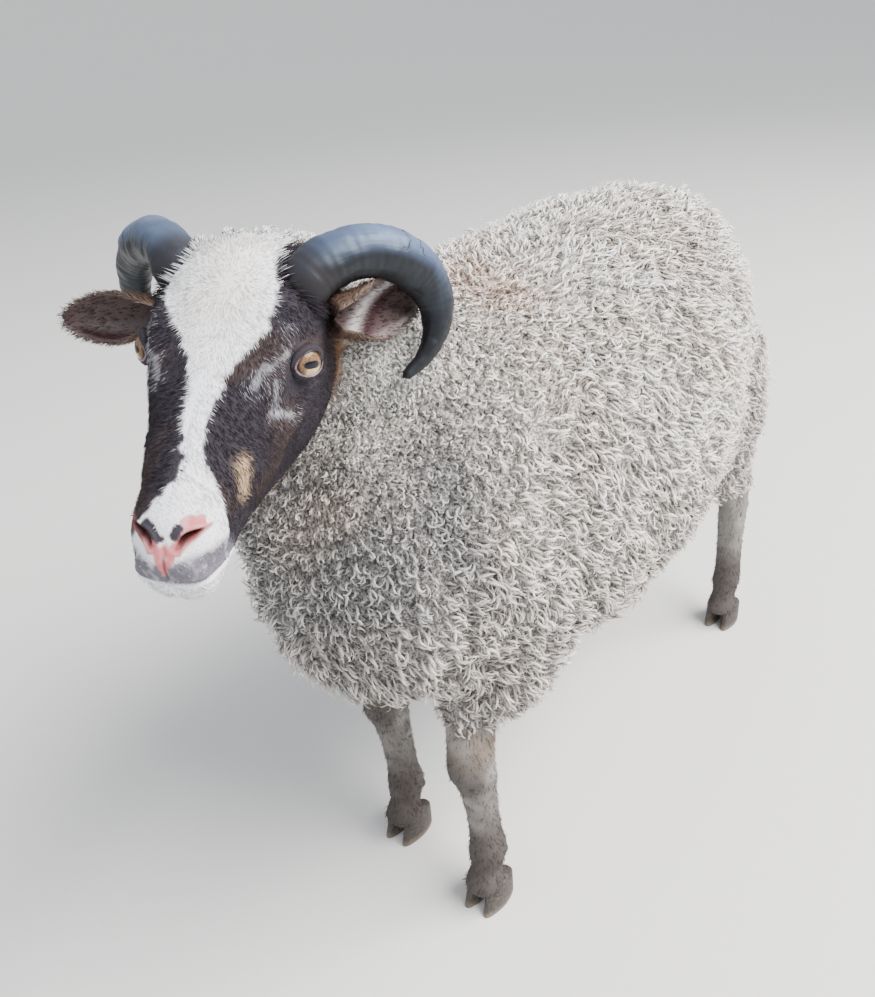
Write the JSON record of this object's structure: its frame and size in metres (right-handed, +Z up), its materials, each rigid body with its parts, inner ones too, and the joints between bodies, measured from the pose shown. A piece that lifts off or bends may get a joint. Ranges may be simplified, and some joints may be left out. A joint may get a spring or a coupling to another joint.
{
  "type": "shetland sheep",
  "caption": "Shetland sheep standing still at life size, woolly fleece, curved horns, head turned to its left, a still museum model.",
  "frame": {"origin": "on the floor under the middle of the whole sheep's box", "axes": "+X forward along the body, +Y to the sheep's left, +Z up"},
  "size_m": [0.9552, 0.3928, 0.7557],
  "materials": {
    "fleece": "matte crimped wool, cream tips over grey-brown roots",
    "face_hair": "short smooth dark brown hair with a white blaze and a pink nose",
    "leg_hair": "short grey-brown hair",
    "horn": "smooth dark horn with faint growth rings and a soft sheen",
    "eye": "wet amber eye with a level dark pupil",
    "hoof": "dull dark hoof horn"
  },
  "bodies": {
    "root": {"torso": "fleece", "neck": "fleece", "tail": "fleece", "head": "face_hair", "ear_left": "face_hair", "ear_right": "face_hair", "eye_left": "eye", "eye_right": "eye", "horn_left": "horn", "horn_right": "horn", "foreleg_left": "leg_hair", "foreleg_right": "leg_hair", "hindleg_left": "leg_hair", "hindleg_right": "leg_hair", "hoof_foreleg_left_inner": "hoof", "hoof_foreleg_left_outer": "hoof", "hoof_foreleg_right_inner": "hoof", "hoof_foreleg_right_outer": "hoof", "hoof_hindleg_left_inner": "hoof", "hoof_hindleg_left_outer": "hoof", "hoof_hindleg_right_inner": "hoof", "hoof_hindleg_right_outer": "hoof"}
  },
  "joints": []
}
